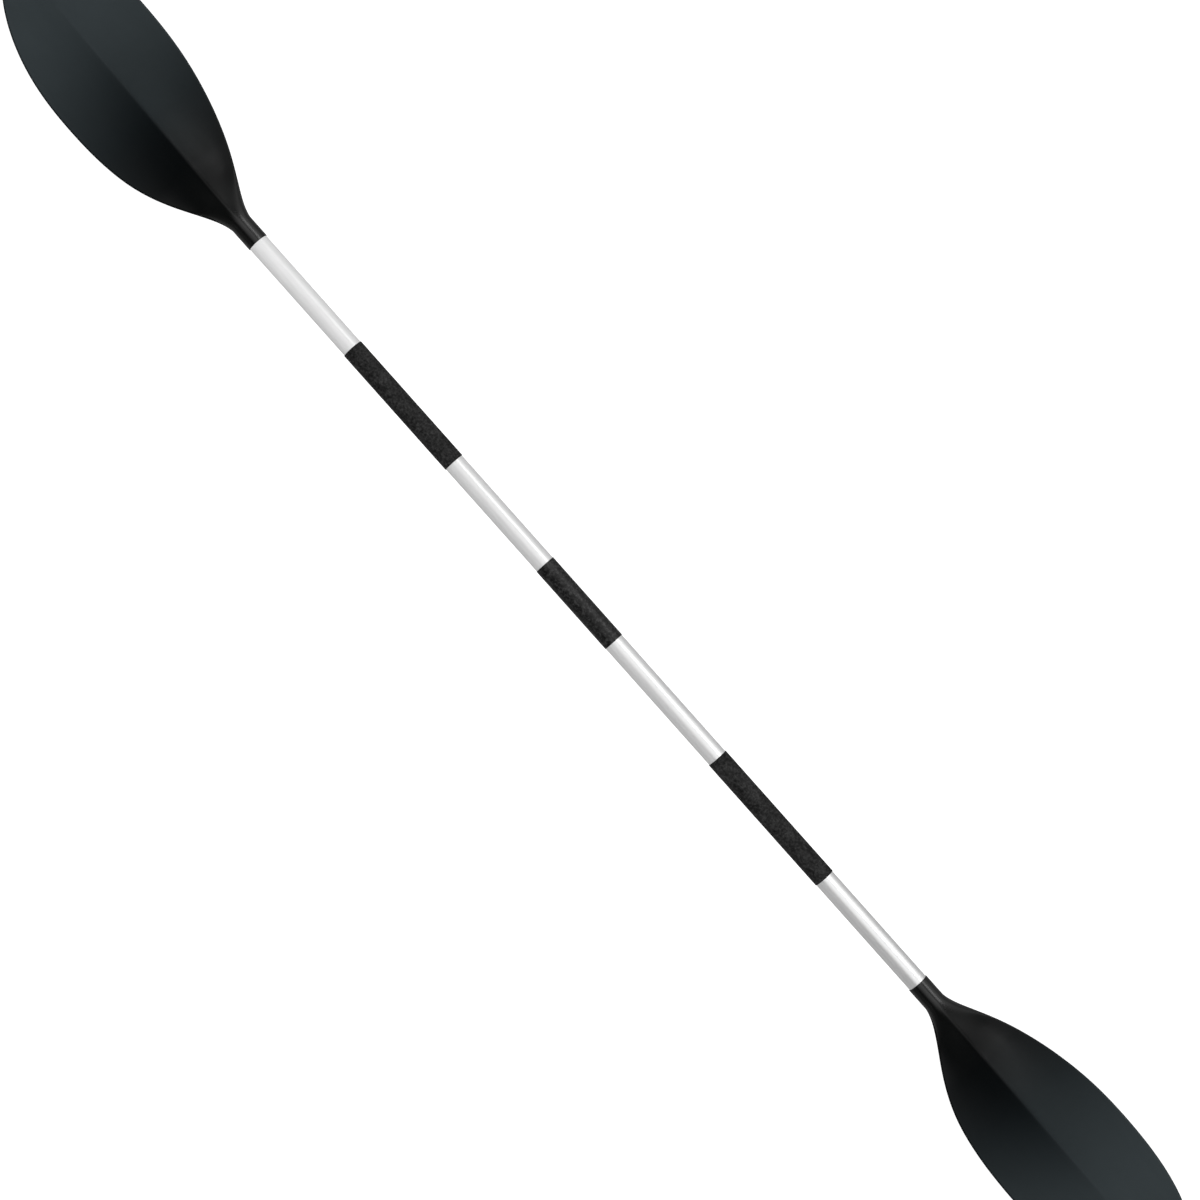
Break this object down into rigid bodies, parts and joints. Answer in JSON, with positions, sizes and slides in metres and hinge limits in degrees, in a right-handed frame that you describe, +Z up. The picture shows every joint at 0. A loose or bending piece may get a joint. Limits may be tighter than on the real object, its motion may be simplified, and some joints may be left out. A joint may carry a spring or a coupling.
{
  "type": "kayak paddle",
  "caption": "Two-piece kayak paddle with moulded dihedral blades, an aluminium take-apart shaft with a snap-button ferrule, hand grips and a centre collar.",
  "frame": {"origin": "centre of the paddle's footprint, on the surface it lies on with both power faces up", "axes": "+X along the shaft toward the right blade, +Y across the blades, +Z up, out of the power faces"},
  "size_m": [2.3006, 0.1926, 0.041],
  "materials": {
    "blade_plastic": "fine moulded satin",
    "shaft_aluminium": "clear anodised, satin",
    "grip_foam": "fine leathery matte",
    "collar_plastic": "moulded matte",
    "ferrule_plastic": "glass-filled, semi-matte",
    "seal_rubber": "smooth",
    "spring_steel": "rolled stainless",
    "rivet_aluminium": "pressed",
    "float_foam": "closed-cell foam"
  },
  "bodies": {
    "left_half": {"blade_left": "blade_plastic", "tube_left": "shaft_aluminium", "grip_left": "grip_foam", "collar": "collar_plastic", "collar_rivet": "rivet_aluminium", "float_plug_left": "float_foam", "blade_rivet_left": "rivet_aluminium", "neck_insert_left": "ferrule_plastic"},
    "seal_ring": {"joint_seal": "seal_rubber"},
    "right_half": {"blade_right": "blade_plastic", "tube_right": "shaft_aluminium", "grip_right": "grip_foam", "ferrule": "ferrule_plastic", "ferrule_plug": "collar_plastic", "ferrule_rivet": "rivet_aluminium", "float_plug_right": "float_foam", "blade_rivet_right": "rivet_aluminium", "spring_clip": "spring_steel", "neck_insert_right": "ferrule_plastic"},
    "snap_button": {"push_button": "spring_steel"}
  },
  "joints": [
    {"name": "pull_apart", "type": "slide", "parent": "left_half", "child": "seal_ring", "axis": [1, 0, 0], "range_m": [0, 0.16], "deforming": ["push_button", "spring_clip"]},
    {"name": "feather", "type": "hinge", "parent": "seal_ring", "child": "right_half", "pos_m": [0.051, 0, 0.0218], "axis": [1, 0, 0], "range_deg": [-60, 60], "deforming": ["push_button", "spring_clip"]},
    {"name": "button_press", "type": "slide", "parent": "right_half", "child": "snap_button", "axis": [0, 0, 1], "range_m": [0, 0.0043], "stiffness_N_per_m": 1000, "springref_m": -0.004, "deforming": ["spring_clip"]}
  ]
}
